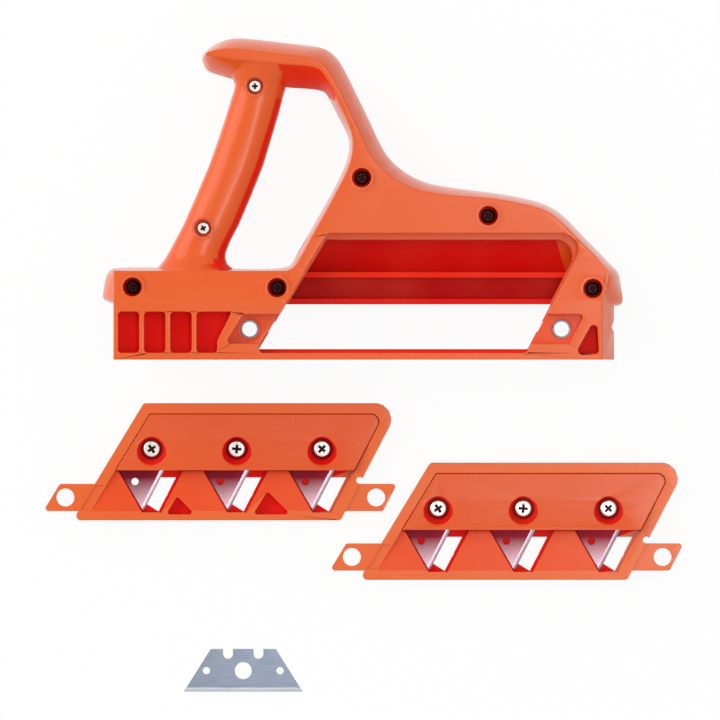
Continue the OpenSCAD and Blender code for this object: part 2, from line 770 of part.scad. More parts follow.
on_bench_body() front_shell();
on_bench_body() rear_shell();
on_bench_body() shell_screws();
on_bench_body() grip_screws();
on_bench_body() bushing(-1);  // left_bushing
on_bench_body() bushing(1);  // right_bushing
on_bench_45() frame_45();
on_bench_45() clamp_plate();  // clamp_plate_45
on_bench_45() seated_blade(0);  // blade_45_a
on_bench_45() seated_blade(1);  // blade_45_b
on_bench_45() seated_blade(2);  // blade_45_c
on_bench_45() clamp_screw(0);  // clamp_screw_45_a
on_bench_45() clamp_screw(1);  // clamp_screw_45_b
on_bench_45() clamp_screw(2);  // clamp_screw_45_c
on_bench_60() frame_60();
on_bench_60() clamp_plate();  // clamp_plate_60
on_bench_60() seated_blade(0);  // blade_60_a
on_bench_60() seated_blade(1);  // blade_60_b
on_bench_60() seated_blade(2);  // blade_60_c
on_bench_60() clamp_screw(0);  // clamp_screw_60_a
on_bench_60() clamp_screw(1);  // clamp_screw_60_b
on_bench_60() clamp_screw(2);  // clamp_screw_60_c
on_bench_spare() blade();  // spare_blade
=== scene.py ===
"""Looks for a drywall edge plane: two-shell body, two blade cassettes and a spare blade, laid out flat."""

import json
import logging
import math
from dataclasses import dataclass, field
from enum import Enum
from typing import Callable

import bpy
import bmesh
from mathutils import Matrix, Vector

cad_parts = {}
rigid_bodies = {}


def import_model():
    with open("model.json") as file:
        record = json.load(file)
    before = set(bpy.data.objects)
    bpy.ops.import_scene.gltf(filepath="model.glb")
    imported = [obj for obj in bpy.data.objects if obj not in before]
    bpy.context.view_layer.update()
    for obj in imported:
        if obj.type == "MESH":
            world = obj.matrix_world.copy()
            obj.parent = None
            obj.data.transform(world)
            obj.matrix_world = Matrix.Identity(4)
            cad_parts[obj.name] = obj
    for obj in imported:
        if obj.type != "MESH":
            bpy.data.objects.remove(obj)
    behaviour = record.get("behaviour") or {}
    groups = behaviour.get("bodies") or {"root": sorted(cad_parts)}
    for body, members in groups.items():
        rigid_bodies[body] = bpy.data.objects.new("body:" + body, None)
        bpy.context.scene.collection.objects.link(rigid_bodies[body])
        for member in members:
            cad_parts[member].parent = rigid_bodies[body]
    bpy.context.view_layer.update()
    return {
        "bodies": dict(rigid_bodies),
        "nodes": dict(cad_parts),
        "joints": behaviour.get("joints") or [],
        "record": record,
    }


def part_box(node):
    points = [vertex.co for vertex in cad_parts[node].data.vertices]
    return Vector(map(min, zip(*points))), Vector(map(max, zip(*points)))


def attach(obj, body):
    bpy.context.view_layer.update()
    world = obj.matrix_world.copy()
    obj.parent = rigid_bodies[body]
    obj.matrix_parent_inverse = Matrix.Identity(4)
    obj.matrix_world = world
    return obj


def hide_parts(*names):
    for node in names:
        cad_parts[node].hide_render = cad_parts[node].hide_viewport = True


LOG = logging.getLogger("edge_plane")
MM = 0.001
MERGE = 0.002 * MM
FLAT = math.radians(0.4)
SMOOTH = math.radians(47)
ROOM = 1.6
RIM_SEGMENTS = 3
Rgb = tuple[float, float, float]


class Corner(Enum):
    """How sharply an edge has to turn before it is rounded."""

    MOULDED = math.radians(38)
    COUNTERSUNK = math.radians(50)


class Driver(Enum):
    """Recess in the head of a screw."""

    CROSS = "cross"
    CROSS_AND_SLOT = "cross_and_slot"


# ---- finishes


def srgb(red: int, green: int, blue: int) -> Rgb:
    """Turns screen values from 0 to 255 into linear light."""
    return tuple(((v / 255 + 0.055) / 1.055) ** 2.4 if v > 10 else v / 255 / 12.92 for v in (red, green, blue))


@dataclass
class NodeSheet:
    """A small helper that lays out the nodes of one material."""

    name: str
    material: bpy.types.Material = field(init=False)

    def __post_init__(self) -> None:
        """Starts the material with its plain surface shader."""
        self.material = bpy.data.materials.new(self.name)
        self.material.use_nodes = True
        self.tree = self.material.node_tree
        self.shader = self.tree.nodes["Principled BSDF"]

    def add(self, kind: str, **values: object) -> bpy.types.Node:
        """Adds one node.

        Args:
            kind: Blender's name of the node type.
            values: attributes of the node, or values for the sockets of that name.

        Returns:
            The new node.
        """
        node = self.tree.nodes.new(kind)
        for key, value in values.items():
            socket = node.inputs.get(key.replace("_", " "))
            if socket is not None and not hasattr(type(node), key):
                socket.default_value = value
            else:
                setattr(node, key, value)
        return node

    def join(self, source: bpy.types.NodeSocket, target: bpy.types.NodeSocket) -> None:
        """Connects two sockets."""
        self.tree.links.new(source, target)

    def place(self, scale: tuple[float, float, float] = (1, 1, 1), turn: float = 0.0) -> bpy.types.NodeSocket:
        """Gives the piece's own coordinates, turned about Z and then scaled.

        Args:
            scale: scale along each turned axis.
            turn: angle about Z in radians.

        Returns:
            The socket with the coordinates.
        """
        coordinates = self.add("ShaderNodeTexCoord")
        turned = self.add("ShaderNodeMapping", Rotation=(0, 0, -turn))
        scaled = self.add("ShaderNodeMapping", Scale=scale)
        self.join(coordinates.outputs["Object"], turned.inputs["Vector"])
        self.join(turned.outputs["Vector"], scaled.inputs["Vector"])
        return scaled.outputs["Vector"]

    def noise(self, where: bpy.types.NodeSocket, scale: float, detail: float = 3.0) -> bpy.types.NodeSocket:
        """Gives a noise from 0 to 1 at the given places.

        Args:
            where: socket with the coordinates.
            scale: features per metre.
            detail: octaves of finer noise.

        Returns:
            The socket with the value.
        """
        node = self.add("ShaderNodeTexNoise", Scale=scale, Detail=detail)
        self.join(where, node.inputs["Vector"])
        return node.outputs["Fac"]

    def spread(self, value: bpy.types.NodeSocket, low: float, high: float,
               start: float = 0.0, end: float = 1.0) -> bpy.types.NodeSocket:
        """Maps a value between start and end to low and high.

        Args:
            value: socket to map.
            low: result at start.
            high: result at end.
            start: lowest value read.
            end: highest value read.

        Returns:
            The socket with the result.
        """
        node = self.add("ShaderNodeMapRange")
        for key, number in (("From Min", start), ("From Max", end), ("To Min", low), ("To Max", high)):
            node.inputs[key].default_value = number
        self.join(value, node.inputs["Value"])
        return node.outputs["Result"]

    def mix(self, share: bpy.types.NodeSocket, first: Rgb | bpy.types.NodeSocket,
            second: Rgb | bpy.types.NodeSocket) -> bpy.types.NodeSocket:
        """Mixes two colours.

        Args:
            share: socket with the share of the second colour.
            first: colour or socket at share 0.
            second: colour or socket at share 1.

        Returns:
            The socket with the mixed colour.
        """
        node = self.add("ShaderNodeMix", data_type="RGBA")
        self.join(share, node.inputs["Factor"])
        for key, colour in (("A", first), ("B", second)):
            socket = [s for s in node.inputs if s.name == key and s.type == "RGBA"][0]
            if isinstance(colour, tuple):
                socket.default_value = (*colour, 1)
            else:
                self.join(colour, socket)
        return [s for s in node.outputs if s.type == "RGBA"][0]

    def bump(self, height: bpy.types.NodeSocket, strength: float, depth: float) -> None:
        """Roughens the surface by a height, in metres."""
        node = self.add("ShaderNodeBump", Strength=strength, Distance=depth)
        self.join(height, node.inputs["Height"])
        self.join(node.outputs["Normal"], self.shader.inputs["Normal"])


@dataclass(frozen=True)
class MouldedNylon:
    """Glass-filled nylon with a fine satin grain, with painted shade and painted glints laid on by attributes.

    The attribute "deep" goes from 0 on open faces through half in lit recesses to 1 in dark ones: it paints
    shade into recesses, turning the colour redder, then darker, and fading gloss, coat and sheen, and the
    attribute "pale" marks faces that get a near-white painted highlight, a painted glint.
    """

    name: str
    face: Rgb
    # lit_recess and dark_recess are painted shade: the face colour as it looks in a lit recess and in a dark
    # one.
    lit_recess: Rgb
    dark_recess: Rgb
    roughness: float = 0.26
    grain_per_m: float = 2600.0
    gloss: float = 0.36
    coat: float = 0.7
    sheen: float = 0.06
    # Depth mark at which the painted shade has fully faded the gloss, coat and sheen.
    gloss_shaded_at: float = 0.4

    def material(self) -> bpy.types.Material:
        """Builds the finish."""
        sheet = NodeSheet(self.name)
        shader = sheet.shader
        where = sheet.place()
        cloud = sheet.noise(where, 45.0)
        grain = sheet.noise(where, self.grain_per_m, 2.0)
        depth = sheet.add("ShaderNodeAttribute", attribute_name="deep").outputs["Fac"]
        pale = sheet.add("ShaderNodeAttribute", attribute_name="pale").outputs["Fac"]
        # Painted shade: marked faces turn redder, then darker, standing in for shade and reddened light in
        # recesses.
        lit = sheet.mix(sheet.spread(depth, 0.0, 1.0, 0.0, 0.5), self.face, self.lit_recess)
        tone = sheet.mix(sheet.spread(depth, 0.0, 1.0, 0.5, 1.0), lit, self.dark_recess)
        clouded = sheet.mix(sheet.spread(cloud, 0.0, 0.05, 0.35, 0.7), tone, srgb(244, 140, 90))
        # Painted highlight: faces marked "pale" turn near-white, a painted glint.
        glinted = sheet.mix(pale, clouded, srgb(255, 240, 228))
        sheet.join(glinted, shader.inputs["Base Color"])
        sheet.join(sheet.spread(grain, self.roughness - 0.05, self.roughness + 0.06),
                   shader.inputs["Roughness"])
        # Painted shade on the reflections: gloss, coat and sheen fade out with the depth mark.
        sheet.join(sheet.spread(depth, self.gloss, 0.03, 0.0, self.gloss_shaded_at),
                   shader.inputs["Specular IOR Level"])
        sheet.join(sheet.spread(depth, self.coat, 0.0, 0.0, self.gloss_shaded_at), shader.inputs["Coat Weight"])
        sheet.join(sheet.spread(depth, self.sheen, 0.0, 0.0, self.gloss_shaded_at), shader.inputs["Sheen Weight"])
        shader.inputs["Coat IOR"].default_value = 1.22
        shader.inputs["Coat Roughness"].default_value = 0.18
        shader.inputs["Sheen Roughness"].default_value = 0.35
        sheet.bump(grain, 0.05, 0.05 * MM)
        return sheet.material


@dataclass(frozen=True)
class BrushedSteel:
    """Steel with lines brushed or ground along one direction, with a painted shade between two heights when
    one is given.
    """

    name: str
    base: Rgb
    light: Rgb
    roughness: float = 0.34
    turn: float = 0.0
    lines_per_m: float = 9000.0
    line_stretch: float = 0.012
    strength: float = 0.35
    # Painted shade: the colour that the steel darkens to, and the two heights over which it does.
    shade_tint: Rgb = (0.0, 0.0, 0.0)
    shade_from: float = 0.0
    shade_to: float = 0.0

    def material(self) -> bpy.types.Material:
        """Builds the finish."""
        sheet = NodeSheet(self.name)
        lines = sheet.noise(sheet.place((self.line_stretch, 1, 1), self.turn), self.lines_per_m, 4.0)
        cloud = sheet.noise(sheet.place(), 90.0)
        tone = sheet.mix(sheet.spread(lines, 0.0, 1.0, 0.3, 0.7), self.base, self.light)
        clouded = sheet.mix(sheet.spread(cloud, 0.0, 0.25, 0.3, 0.8), tone, self.light)
        # Painted shade: the colour turns to the shade tint between the two heights.
        if self.shade_to > self.shade_from:
            split = sheet.add("ShaderNodeSeparateXYZ")
            sheet.join(sheet.place(), split.inputs["Vector"])
            share = sheet.spread(split.outputs["Y"], 0.0, 1.0, self.shade_from, self.shade_to)
            clouded = sheet.mix(share, clouded, self.shade_tint)
        sheet.join(clouded, sheet.shader.inputs["Base Color"])
        sheet.join(sheet.spread(lines, self.roughness - 0.08, self.roughness + 0.1),
                   sheet.shader.inputs["Roughness"])
        sheet.shader.inputs["Metallic"].default_value = 1.0
        sheet.bump(lines, self.strength, 0.02 * MM)
        return sheet.material


@dataclass(frozen=True)
class Plated:
    """Bright nickel plate with faint turning marks, dark where the attribute "deep" is 1: painted shade in the
    driver recess.
    """

    name: str
    base: Rgb
    roughness: float = 0.2
    cloud: Rgb = srgb(190, 180, 172)
    # Colour of the painted shade in the driver recess.
    recess: Rgb = srgb(48, 24, 26)

    def material(self) -> bpy.types.Material:
        """Builds the finish."""
        sheet = NodeSheet(self.name)
        marks = sheet.noise(sheet.place(), 1800.0)
        cloud = sheet.noise(sheet.place(), 300.0)
        tone = sheet.mix(sheet.spread(cloud, 0.0, 0.35, 0.3, 0.8), self.base, self.cloud)
        depth = sheet.add("ShaderNodeAttribute", attribute_name="deep").outputs["Fac"]
        # Painted shade: faces marked "deep" take the recess colour.
        sheet.join(sheet.mix(depth, tone, self.recess), sheet.shader.inputs["Base Color"])
        sheet.join(sheet.spread(marks, self.roughness - 0.05, self.roughness + 0.12),
                   sheet.shader.inputs["Roughness"])
        sheet.shader.inputs["Metallic"].default_value = 1.0
        sheet.bump(marks, 0.15, 0.01 * MM)
        return sheet.material


# ---- modelling helpers


def hold(piece: bpy.types.Object) -> None:
    """Selects one piece alone and makes it active."""
    bpy.ops.object.select_all(action="DESELECT")
    piece.hide_viewport = False
    piece.select_set(True)
    bpy.context.view_layer.objects.active = piece


def edit(piece: bpy.types.Object, work: Callable[[], None]) -> None:
    """Runs work on a piece in edit mode, with all of its mesh selected."""
    hold(piece)
    bpy.ops.object.mode_set(mode="EDIT")
    bpy.ops.mesh.select_mode(type="VERT")
    bpy.ops.mesh.select_all(action="SELECT")
    work()
    bpy.ops.object.mode_set(mode="OBJECT")


def apply_modifier(piece: bpy.types.Object, kind: str, **values: object) -> None:
    """Adds a modifier with these settings and applies it.

    Args:
        piece: the piece to change.
        kind: Blender's name of the modifier type.
        values: settings of the modifier.
    """
    hold(piece)
    modifier = piece.modifiers.new(kind.lower(), kind)
    for key, value in values.items():
        setattr(modifier, key, value)
    bpy.ops.object.modifier_apply(modifier=modifier.name)


def from_cad(frame: dict, node: str, name: str) -> bpy.types.Object:
    """Copies a CAD node as a merged mesh of plain faces.

    Args:
        frame: the loaded frame.
        node: name of the CAD node.
        name: name of the new piece.

    Returns:
        The copy, at the origin, with no parent.
    """
    piece = bpy.data.objects.new(name, frame["nodes"][node].data.copy())
    bpy.context.scene.collection.objects.link(piece)
    piece.data.materials.clear()

    def tidy() -> None:
        """Merges the loose triangles and joins the coplanar ones."""
        bpy.ops.mesh.remove_doubles(threshold=MERGE)
        bpy.ops.mesh.customdata_custom_splitnormals_clear()
        bpy.ops.mesh.dissolve_limited(angle_limit=FLAT)

    edit(piece, tidy)
    return piece


def number_edges(piece: bpy.types.Object, width: float, corner: Corner, longest: float) -> int:
    """Numbers each run of outer edges that are sharp and have room for a rounding, in the edge layer "run".

    Args:
        piece: the piece to change.
        width: width of the rounding in metres.
        corner: how sharply an edge has to turn to be rounded.
        longest: length of the longest run to number, in metres.

    Returns:
        How many runs there are.
    """
    mesh = bmesh.new()
    mesh.from_mesh(piece.data)
    number = mesh.edges.layers.int.get("run") or mesh.edges.layers.int.new("run")
    for edge in mesh.edges:
        edge[number] = 0
    left = {edge for edge in mesh.edges
            if len(edge.link_faces) == 2 and edge.is_convex and edge.calc_face_angle() > corner.value
            and all(face.calc_area() > ROOM * width * edge.calc_length() for face in edge.link_faces)}
    runs = 0
    for first in list(mesh.edges):
        if first not in left:
            continue
        left.discard(first)
        found, run = [first], []
        while found:
            edge = found.pop()
            run.append(edge)
            touching = [other for vertex in edge.verts for other in vertex.link_edges if other in left]
            left.difference_update(touching)
            found.extend(set(touching))
        if sum(edge.calc_length() for edge in run) < longest:
            runs += 1
            for edge in run:
                edge[number] = runs
    mesh.to_mesh(piece.data)
    mesh.free()
    return runs


def bevel_runs(piece: bpy.types.Object, width: float, runs: int, segments: int) -> None:
    """Bevels the numbered runs of edges, one after another.

    Args:
        piece: the piece to change.
        width: width of the rounding in metres.
        runs: how many runs are numbered.
        segments: faces across the rounding.
    """
    def work() -> None:
        """Selects and bevels each run."""
        bpy.ops.mesh.select_mode(type="EDGE")
        for run in range(1, runs + 1):
            mesh = bmesh.from_edit_mesh(piece.data)
            number = mesh.edges.layers.int["run"]
            for edge in mesh.edges:
                edge.select_set(edge[number] == run)
            bmesh.update_edit_mesh(piece.data)
            bpy.ops.mesh.bevel(offset=width, segments=segments, affect="EDGES", clamp_overlap=True,
                               miter_outer="ARC")

    edit(piece, work)


def round_edges(piece: bpy.types.Object, width: float, corner: Corner, segments: int = 2,
                ring: float = 45 * MM) -> None:
    """Rounds the sharp outer edges that have room for it and shades the piece smoothly between flat faces.

    The rims of holes are rounded first, while the faces round them are whole.

    Args:
        piece: the piece to change.
        width: width of the rounding in metres.
        corner: how sharply an edge has to turn to be rounded.
        segments: faces across the rounding of a long edge.
        ring: length of the longest rim that is rounded first, in metres.
    """
    bevel_runs(piece, width, number_edges(piece, width, corner, ring), RIM_SEGMENTS)
    edit(piece, lambda: bpy.ops.mesh.quads_convert_to_tris(quad_method="BEAUTY", ngon_method="BEAUTY"))
    bevel_runs(piece, width, number_edges(piece, width, corner, math.inf), segments)
    smooth(piece)


def smooth(piece: bpy.types.Object) -> None:
    """Shades a piece smoothly, with flat faces kept flat."""
    hold(piece)
    bpy.ops.object.shade_smooth_by_angle(angle=SMOOTH)
    apply_modifier(piece, "WEIGHTED_NORMAL", keep_sharp=True, weight=60)


def finish_piece(piece: bpy.types.Object, slot: str, body: str, *nodes: str) -> None:
    """Fastens a piece to its body and hides the nodes that it stands for."""
    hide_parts(*nodes)
    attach(piece, body)
    LOG.info("%s on %s: %d faces", piece.name, body, len(piece.data.polygons))


def mark(piece: bpy.types.Object, name: str, value_at: Callable[[Vector, Vector], float]) -> None:
    """Writes a value from 0 to 1 on each face, for the materials.

    Args:
        piece: the piece to mark.
        name: name of the attribute.
        value_at: gives the value from a face's centre and normal.
    """
    layer = piece.data.attributes.new(name, "FLOAT", "FACE")
    for face, value in zip(piece.data.polygons, layer.data):
        value.value = value_at(face.center, face.normal)


# ---- sub-assemblies


@dataclass
class BodyShells:
    """The two halves of the body, with their moulded edges."""

    frame: dict
    origin: Vector
    edge: float = 0.45 * MM
    back_z: float = 6 * MM
    front_z: float = 39 * MM
    seat_z: float = 27 * MM
    window_top: float = 10.8 * MM
    rib_y: float = 22.4 * MM
    rib_t: float = 2.4 * MM
    recess_top: float = 38.8 * MM
    pocket_top: float = 7.5 * MM
    pocket_right: float = -76 * MM
    pocket_slant: float = 0.62
    nose_pocket_left: float = 76.5 * MM
    nose_pocket_slant: float = 0.5
    window_left: float = -47 * MM
    window_right: float = 68 * MM
    window_foot: float = -8.6 * MM
    foot_left: float = -66 * MM
    foot_right: float = 56 * MM
    foot_h: float = 5 * MM
    lug_from: float = 51 * MM
    lug_to: float = 79 * MM
    lug_half: float = 7 * MM
    block_left: float = -126 * MM
    block_right: float = 85 * MM
    block_foot: float = -11.3 * MM
    loop_foot: float = 24 * MM
    loop_right: float = 2 * MM
    horn_right: float = -54 * MM
    strap_foot: float = 100 * MM
    grip_right: float = -82 * MM
    grip_lean: float = 0.32
    hole_r: float = 4.1 * MM
    hole_rim: float = 4 * MM
    recess_shade: float = 0.5
    foot_shade: float = 0.4
    lug_shade: float = 0.12
    strap_shade: float = 0.38
    grip_shade: float = 0.42
    grip_gain: float = 1.8
    wall_shade: float = 0.6
    rib_shade: float = 0.42
    low_wall_shade: float = 0.95

    def build(self, nylon: bpy.types.Material) -> None:
        """Builds both shells."""
        self.holes = [(low + high) / 2 for low, high in solids_of(self.frame, "shell_screws")]
        for half in ("front", "rear"):
            piece = from_cad(self.frame, f"{half}_shell", f"{half}_housing")
            round_edges(piece, self.edge, Corner.MOULDED)
            # Painted shade: marks how much recess shade each face gets.
            mark(piece, "deep", self.depth)
            piece.data.materials.append(nylon)
            finish_piece(piece, "orange_shell", "body", f"{half}_shell")

    def depth(self, centre: Vector, normal: Vector) -> float:
        """Tells how much painted shade a face gets, from how deep in a recess it lies.

        Args:
            centre: centre of the face.
            normal: direction that the face looks in.

        Returns:
            0 on open faces, half in lit recesses and up to 1 in dark ones.
        """
        place = centre - self.origin
        if centre.z > self.front_z - self.edge or centre.z < self.back_z:
            return 0.0
        for hole in self.holes:
            in_hole = (centre.xy - hole.xy).length < self.hole_r + 0.05 * MM
            if in_hole and centre.z < self.front_z - self.hole_rim:
                return self.recess_shade
        left_pocket = place.x < self.pocket_right + self.pocket_slant * place.y
        nose_pocket = place.x > self.nose_pocket_left + self.nose_pocket_slant * place.y
        if place.y < self.pocket_top + 0.2 * MM and (left_pocket or nose_pocket):
            inside = centre.z > self.seat_z and abs(normal.x) + abs(normal.y) + normal.z > 0.5
            return self.recess_shade if inside and self._in_block(place) else 0.0
        in_window = self.window_left < place.x < self.window_right
        if in_window and self.window_top - 0.3 * MM < place.y < self.recess_top \
                and centre.z < self.seat_z - self.edge:
            return self._wall_shade(place)
        in_foot = self.foot_left < place.x < self.foot_right and place.y < self.window_foot
        if in_foot and self.seat_z - MM < centre.z:
            low = centre.z < self.seat_z + self.foot_h
            return self.foot_shade if low and self._in_block(place) else 0.0
        beside = self.lug_from < abs(place.x) < self.lug_to and abs(place.y) < self.lug_half
        if beside and centre.z > self.seat_z:
            return self.lug_shade if normal.z > 0.5 else self.foot_shade
        return self._loop_shade(place, normal)

    def _in_block(self, place: Vector) -> bool:
        """Tells whether a place lies inside the walls of the lower block."""
        return self.block_left < place.x < self.block_right and place.y > self.block_foot

    def _loop_shade(self, place: Vector, normal: Vector) -> float:
        """Reddens the strap's underside and the right side of the grip, which face each other: painted shade
        and painted reddened reflected light.
        """
        if place.y < self.loop_foot or place.x > self.loop_right or abs(normal.z) > 0.8:
            return 0.0
        if place.y > self.strap_foot:
            return self.strap_shade if normal.y < -0.25 and place.x > self.horn_right else 0.0
        if normal.z <= 0.08 or place.x >= self.grip_right + self.grip_lean * place.y:
            return 0.0
        return min(self.grip_shade, self.grip_gain * max(0.0, normal.x - 0.04))

    def _wall_shade(self, place: Vector) -> float:
        """Shades the ribbed wall of the window: ribs lit, the lower wall darkest."""
        if place.y > self.rib_y + self.rib_t:
            return self.wall_shade
        if place.y > self.rib_y - 0.1 * MM:
            return self.rib_shade
        return self.low_wall_shade if place.y > self.window_top + self.rib_t else self.wall_shade


@dataclass
class ScrewShape:
    """A pan-head screw with a driver recess, modelled once and copied."""

    head_r: float
    head_h: float
    shank_r: float
    driver: Driver
    recess_share: float = 0.5
    sides: int = 48
    dome_share: float = 0.42
    slot_share: float = 0.86

    def model(self) -> bpy.types.Object:
        """Models the screw on the Z axis, its head standing on height 0.

        Returns:
            The screw, with a short shank that fit() draws to its length.
        """
        bpy.ops.object.select_all(action="DESELECT")
        bpy.ops.mesh.primitive_cylinder_add(vertices=self.sides, radius=self.head_r, depth=self.head_h,
                                            location=(0, 0, self.head_h / 2))
        head = bpy.context.object
        hold(head)
        bpy.ops.object.transform_apply(location=True, rotation=True, scale=True)
        self._shape(head)
        self._cut(head)
        smooth(head)
        # Painted shade: marks the driver recess for the recess colour.
        mark(head, "deep", self._recess)
        return head

    def _recess(self, centre: Vector, normal: Vector) -> float:
        """Tells whether a face belongs to the driver recess, which gets painted shade."""
        if centre.z < 0.1 * self.head_h:
            return 0.0
        outward = normal.xy.dot(centre.xy.normalized())
        floor = normal.z > 0.995 and centre.z < self.head_h - 0.1 * MM
        return 1.0 if floor or (normal.z < 0.6 and outward < 0.5) else 0.0

    def _shape(self, head: bpy.types.Object) -> None:
        """Domes the head and draws the shank out of its underside."""

        def pick(height: float) -> None:
            """Selects the faces at one height."""
            mesh = bmesh.from_edit_mesh(head.data)
            for face in mesh.faces:
                face.select_set(abs(face.calc_center_median().z - height) < 0.01 * MM)
            bmesh.update_edit_mesh(head.data)
            bpy.ops.mesh.select_mode(type="FACE")

        def dome() -> None:
            """Rounds the top."""
            pick(self.head_h)
            bpy.ops.mesh.bevel(offset=self.head_h * self.dome_share, segments=5, profile=0.5, affect="EDGES")

        def shank() -> None:
            """Draws the shank out."""
            pick(0.0)
            bpy.ops.mesh.inset(thickness=self.head_r - self.shank_r)
            bpy.ops.mesh.extrude_region_move(TRANSFORM_OT_translate={"value": (0, 0, -self.head_h)})

        edit(head, dome)
        edit(head, shank)

    def _cut(self, head: bpy.types.Object) -> None:
        """Cuts the driver recess into the head."""
        reach = self.head_r * self.recess_share
        cuts = [(reach, 0.32 * self.shank_r, 0.75 * self.head_h, k * math.pi / 2) for k in range(2)]
        if self.driver is Driver.CROSS_AND_SLOT:
            cuts.append((self.head_r * self.slot_share, 0.2 * self.shank_r, 0.3 * self.head_h, 0.0))
        for length, half_width, depth, turn in cuts:
            cutter = self._wedge(length, half_width, depth, turn)
            apply_modifier(head, "BOOLEAN", operation="DIFFERENCE", object=cutter, solver="EXACT")
            bpy.data.objects.remove(cutter)

    def _wedge(self, length: float, half_width: float, depth: float, turn: float) -> bpy.types.Object:
        """Makes one bar of the recess, narrower towards its floor."""
        spare = 0.4 * MM
        bpy.ops.object.select_all(action="DESELECT")
        bpy.ops.mesh.primitive_cube_add(size=1, location=(0, 0, self.head_h - (depth - spare) / 2))
        bar = bpy.context.object
        bar.scale = (2 * length, 2 * half_width, depth + spare)
        bpy.ops.object.transform_apply(location=True, rotation=True, scale=True)

        def taper() -> None:
            """Narrows the floor of the bar and turns it."""
            mesh = bmesh.from_edit_mesh(bar.data)
            for vert in mesh.verts:
                vert.select_set(vert.co.z < self.head_h - depth / 2)
            bmesh.update_edit_mesh(bar.data)
            bpy.ops.transform.resize(value=(0.55, 0.7, 1.0))
            bpy.ops.mesh.select_all(action="SELECT")
            bpy.ops.transform.rotate(value=turn, orient_axis="Z", center_override=(0, 0, 0))

        edit(bar, taper)
        return bar

    def fit(self, model: bpy.types.Object, name: str, box: tuple[Vector, Vector],
            turn: float) -> bpy.types.Object:
        """Copies the modelled screw into the place of a CAD screw.

        Args:
            model: the screw made by model().
            name: name of the copy.
            box: the CAD screw's box.
            turn: how far its recess is turned.

        Returns:
            The copy, with a mesh of its own.
        """
        low, high = box
        under = high.z - self.head_h
        copy = bpy.data.objects.new(name, model.data.copy())
        bpy.context.scene.collection.objects.link(copy)
        for vert in copy.data.vertices:
            if vert.co.z < -self.head_h / 2:
                vert.co.z = low.z - under
        at = Vector(((low.x + high.x) / 2, (low.y + high.y) / 2, under))
        copy.data.transform(Matrix.Translation(at) @ Matrix.Rotation(turn, 4, "Z"))
        return copy


def solids_of(frame: dict, node: str) -> list[tuple[Vector, Vector]]:
    """Gives the box of each separate solid of a CAD node, from left to right."""
    mesh = bmesh.new()
    mesh.from_mesh(frame["nodes"][node].data)
    bmesh.ops.remove_doubles(mesh, verts=mesh.verts, dist=MERGE)
    left, boxes = set(mesh.verts), []
    while left:
        group, queue = set(), [left.pop()]
        while queue:
            vert = queue.pop()
            group.add(vert)
            for edge in vert.link_edges:
                other = edge.other_vert(vert)
                if other in left:
                    left.discard(other)
                    queue.append(other)
        low = Vector([min(v.co[k] for v in group) for k in range(3)])
        high = Vector([max(v.co[k] for v in group) for k in range(3)])
        boxes.append((low, high))
    mesh.free()
    return sorted(boxes, key=lambda pair: pair[0].x)


@dataclass
class BodyFasteners:
    """Screws and bushings of the body."""

    frame: dict
    head_r: float = 2.9 * MM
    shank_r: float = 1.6 * MM
    shell_head_h: float = 2.2 * MM
    grip_head_h: float = 2.0 * MM
    ring_edge: float = 0.08 * MM
    groove_in: float = 0.28 * MM
    groove_w: float = 0.08 * MM
    groove_depth: float = 0.4 * MM

    def build(self, black: bpy.types.Material, plate: bpy.types.Material, ring: bpy.types.Material) -> None:
        """Builds all screws of the shells and the two bushings."""
        self._screws("shell_screws", self.shell_head_h, "black_screw", black)
        self._screws("grip_screws", self.grip_head_h, "nickel_screw", plate)
        for side in ("left", "right"):
            piece = from_cad(self.frame, f"{side}_bushing", f"{side}_ring")
            self._turn(piece)
            round_edges(piece, self.ring_edge, Corner.MOULDED)
            piece.data.materials.append(ring)
            finish_piece(piece, "steel_bushing", "body", f"{side}_bushing")

    def _turn(self, ring: bpy.types.Object) -> None:
        """Turns a groove into the upper end of a bushing."""
        top = max(vert.co.z for vert in ring.data.vertices)

        def groove() -> None:
            """Insets the upper face twice, the second time downwards."""
            bpy.ops.mesh.select_mode(type="FACE")
            mesh = bmesh.from_edit_mesh(ring.data)
            for face in mesh.faces:
                face.select_set(face.normal.z > 0.99 and face.calc_center_median().z > top - 0.01 * MM)
            bmesh.update_edit_mesh(ring.data)
            bpy.ops.mesh.inset(thickness=self.groove_in)
            bpy.ops.mesh.inset(thickness=self.groove_w, depth=-self.groove_depth)

        edit(ring, groove)

    def _screws(self, node: str, head_h: float, slot: str, metal: bpy.types.Material) -> None:
        """Builds the screws of one node as one piece."""
        shape = ScrewShape(self.head_r, head_h, self.shank_r, Driver.CROSS)
        model = shape.model()
        copies = [shape.fit(model, f"{node}_{count}", box, 0.5 + 1.1 * count)
                  for count, box in enumerate(solids_of(self.frame, node))]
        bpy.data.objects.remove(model)
        bpy.ops.object.select_all(action="DESELECT")
        for copy in copies:
            copy.select_set(True)
        bpy.context.view_layer.objects.active = copies[0]
        bpy.ops.object.join()
        piece = bpy.context.object
        piece.name = f"{node}_fitted"
        piece.data.materials.clear()
        piece.data.materials.append(metal)
        finish_piece(piece, slot, "body", node)


